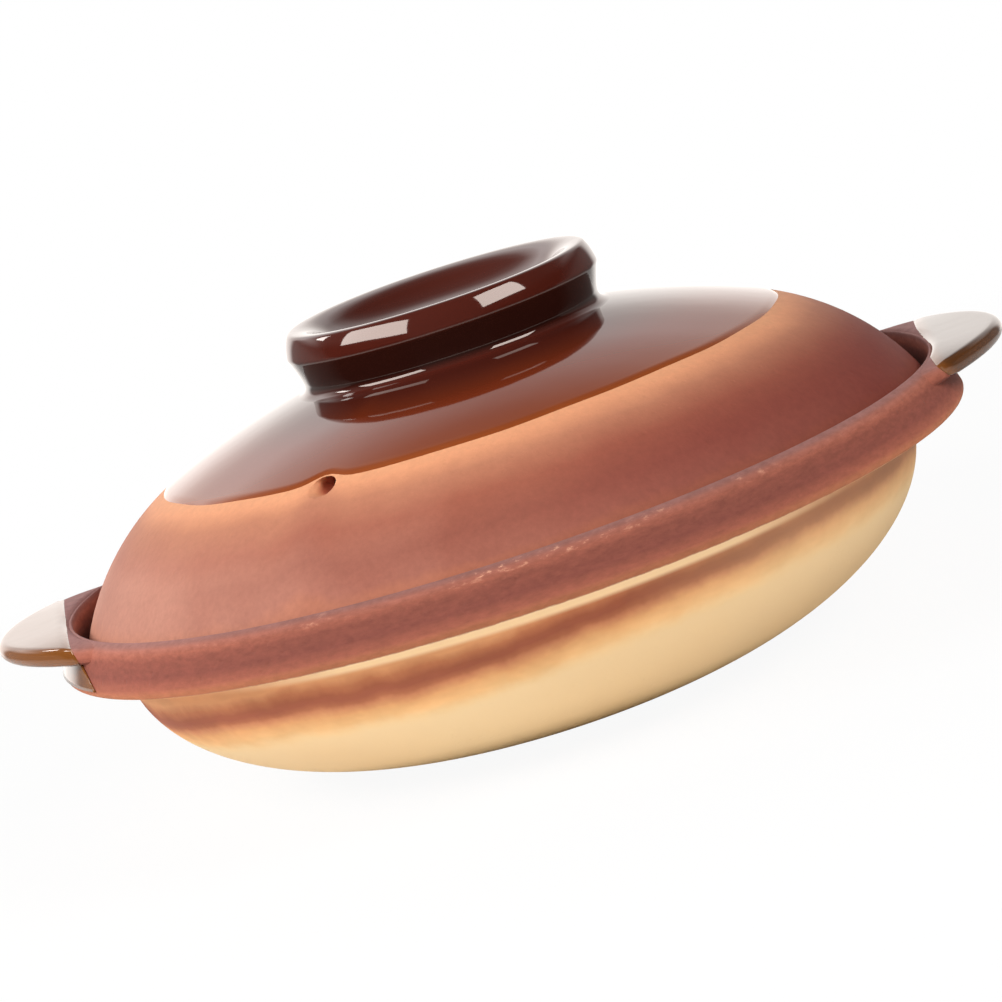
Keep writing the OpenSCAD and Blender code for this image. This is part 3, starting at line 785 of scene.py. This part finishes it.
lit_share = put(tree, "ShaderNodeMath", {0: seen, 1: FLOOR_WHITE}, operation="MULTIPLY").outputs[0]
lit = put(tree, "ShaderNodeMixShader", {0: lit_share, 1: paper.outputs[0], 2: glow.outputs[0]})
clear = put(tree, "ShaderNodeBsdfTransparent")
mixed = put(tree, "ShaderNodeMixShader", {0: fade, 1: lit.outputs[0], 2: clear.outputs[0]})
put(tree, "ShaderNodeOutputMaterial", {"Surface": mixed.outputs[0]})
floor.data.materials.append(material)

world = bpy.data.worlds.new("studio")
bpy.context.scene.world = world
world.use_nodes = True
tree = world.node_tree
tree.nodes.clear()
toward_sky = put(tree, "ShaderNodeTexCoord").outputs["Generated"]
axes = put(tree, "ShaderNodeSeparateXYZ", {0: toward_sky}).outputs
front = put(tree, "ShaderNodeMath", {0: axes["Y"], 1: -1.0}, operation="MULTIPLY").outputs[0]
tilt = put(tree, "ShaderNodeMath", {0: front, 1: axes["Z"]}, operation="ARCTAN2").outputs[0]
# Brightness by the angle from overhead: -90 is the horizon behind the pot, 90 the camera's side.
SKY = ((-180, 0.5), (-92, 0.8), (-90, 1.0), (-75, 1.0), (-60, 0.95), (-50, 0.68), (-40, 0.26),
       (-28, 0.12), (0, 0.08), (30, 0.06), (120, 0.06), (180, 0.5))
turned = put(tree, "ShaderNodeMapRange", {0: tilt, 1: -math.pi, 2: math.pi}).outputs[0]
sky = put(tree, "ShaderNodeValToRGB", {0: turned})
for angle, grey in SKY:
    stop = sky.color_ramp.elements.new((angle + 180) / 360)
    stop.color = (grey, grey, grey, 1)
sky.color_ramp.elements.remove(sky.color_ramp.elements[0])
sky.color_ramp.elements.remove(sky.color_ramp.elements[-1])
side_level = put(tree, "ShaderNodeMapRange",
                 {0: axes["X"], 1: -0.5, 2: 0.5, 3: 1.95, 4: 0.85}).outputs[0]
# What the glaze mirrors low down on both sides of the sweep is the dark room.
sideways = put(tree, "ShaderNodeMath", {0: axes["X"]}, operation="ABSOLUTE").outputs[0]
beside_sweep = put(tree, "ShaderNodeMapRange", {0: sideways, 1: 0.38, 2: 0.58, 3: 0.0, 4: 0.9},
                   interpolation_type="SMOOTHSTEP").outputs[0]
low_down = put(tree, "ShaderNodeMapRange", {0: axes["Z"], 1: 0.22, 2: 0.42, 3: 1.0, 4: 0.0},
               interpolation_type="SMOOTHSTEP").outputs[0]
ray = put(tree, "ShaderNodeLightPath").outputs
to_side = put(tree, "ShaderNodeMath", {0: beside_sweep, 1: low_down},
              operation="MULTIPLY").outputs[0]
walls = put(tree, "ShaderNodeMath", {0: to_side, 1: ray["Is Glossy Ray"]},
            operation="MULTIPLY").outputs[0]
open_share = put(tree, "ShaderNodeMath", {0: 1.0, 1: walls}, operation="SUBTRACT").outputs[0]
level = put(tree, "ShaderNodeMath", {0: side_level, 1: open_share}, operation="MULTIPLY").outputs[0]
room = put(tree, "ShaderNodeBackground", {"Color": sky.outputs[0], "Strength": level})
# The paper sweep is warmer than the room's light, and brightest where it meets the table.
paper_level = put(tree, "ShaderNodeMapRange",
                  {0: axes["X"], 1: -0.2, 2: 0.2, 3: 0.96, 4: 0.78}).outputs[0]
near_table = put(tree, "ShaderNodeMapRange",
                 {0: tilt, 1: math.radians(-62), 2: math.radians(-82), 3: 1.0, 4: 1.9},
                 interpolation_type="SMOOTHSTEP").outputs[0]
paper_lit = put(tree, "ShaderNodeMath", {0: paper_level, 1: near_table},
                operation="MULTIPLY").outputs[0]
paper_white = put(tree, "ShaderNodeBackground",
                  {"Color": (1.0, 0.955, 0.915, 1), "Strength": paper_lit})
white = put(tree, "ShaderNodeBackground", {"Color": (1, 1, 1, 1), "Strength": 1.0})
through = put(tree, "ShaderNodeMath",
              {0: ray["Is Glossy Ray"], 1: ray["Is Transmission Ray"]}).outputs[0]
mirrored = put(tree, "ShaderNodeMath", {0: through, 1: open_share}, operation="MULTIPLY").outputs[0]
sweep = put(tree, "ShaderNodeMapRange",
            {0: tilt, 1: math.radians(-58), 2: math.radians(-76), 3: 0.0, 4: 1.0},
            interpolation_type="SMOOTHSTEP").outputs[0]
sweep_share = put(tree, "ShaderNodeMath", {0: mirrored, 1: sweep}, operation="MULTIPLY").outputs[0]
reflected = put(tree, "ShaderNodeMixShader",
                {0: sweep_share, 1: room.outputs[0], 2: paper_white.outputs[0]})
shown = put(tree, "ShaderNodeMixShader",
            {0: ray["Is Camera Ray"], 1: reflected.outputs[0], 2: white.outputs[0]})
put(tree, "ShaderNodeOutputWorld", {"Surface": shown.outputs[0]})


def softbox(name, azimuth, distance, low, high, width, radiance):
    """An upright soft light, in metres. Azimuth runs from the camera's side to the right."""
    height = high - low
    data = bpy.data.lights.new(name, "AREA")
    data.shape, data.size, data.size_y = "RECTANGLE", width, height
    data.energy = radiance * math.pi * width * height
    lamp = bpy.data.objects.new(name, data)
    bpy.context.scene.collection.objects.link(lamp)
    a = math.radians(azimuth)
    lamp.location = (distance * math.sin(a), -distance * math.cos(a), (low + high) / 2)
    facing = Vector((-math.sin(a), math.cos(a), 0))
    lamp.rotation_mode = "QUATERNION"
    lamp.rotation_quaternion = facing.to_track_quat("-Z", "Y")
    lamp.visible_camera = False
    return lamp


softbox("left_softbox", -55, 0.72, 0.36, 0.78, 0.74, 9.6)
softbox("right_softbox", 46, 0.72, 0.36, 0.78, 0.46, 9.6)
softbox("side_lamp", -108, 0.70, 0.42, 0.60, 0.12, 12.0)
# A low card of light in front brightens the wall under the band, and another lights the back. The
# glaze doesn't mirror either of them: behind the pot it mirrors the sweep, bright near the table.
softbox("front_fill", 0, 0.85, 0.0, 0.28, 2.2, 1.35).visible_glossy = False
softbox("back_softbox", 188, 1.20, 0.03, 0.65, 2.0, 0.8).visible_glossy = False

# The camera, at the photograph's viewing angle, rolled as the photograph is.
SCALE_MM, FRAME_PX = 0.28, 1002
VIEW_PX, VIEW_RISE, ROLL = 4750.0, math.radians(9.2), math.radians(18.2)
AIM = Vector((-0.98, 0.0, 57.96)) * MM
camera_data = bpy.data.cameras.new("camera")
camera_data.sensor_width = 36.0
camera_data.lens = VIEW_PX / FRAME_PX * camera_data.sensor_width
camera_data.clip_start, camera_data.clip_end = 0.05, 20
camera = bpy.data.objects.new("camera", camera_data)
bpy.context.scene.collection.objects.link(camera)
bpy.context.scene.camera = camera
forward = Vector((0, math.cos(VIEW_RISE), -math.sin(VIEW_RISE)))
level_up = Vector((0, math.sin(VIEW_RISE), math.cos(VIEW_RISE)))
across = Vector((1, 0, 0))
up = math.cos(ROLL) * level_up + math.sin(ROLL) * across
right = math.cos(ROLL) * across - math.sin(ROLL) * level_up
pose = Matrix((right, up, -forward)).transposed().to_4x4()
pose.translation = AIM - forward * VIEW_PX * SCALE_MM * MM
camera.matrix_world = pose

bpy.context.scene.view_settings.view_transform = "Standard"
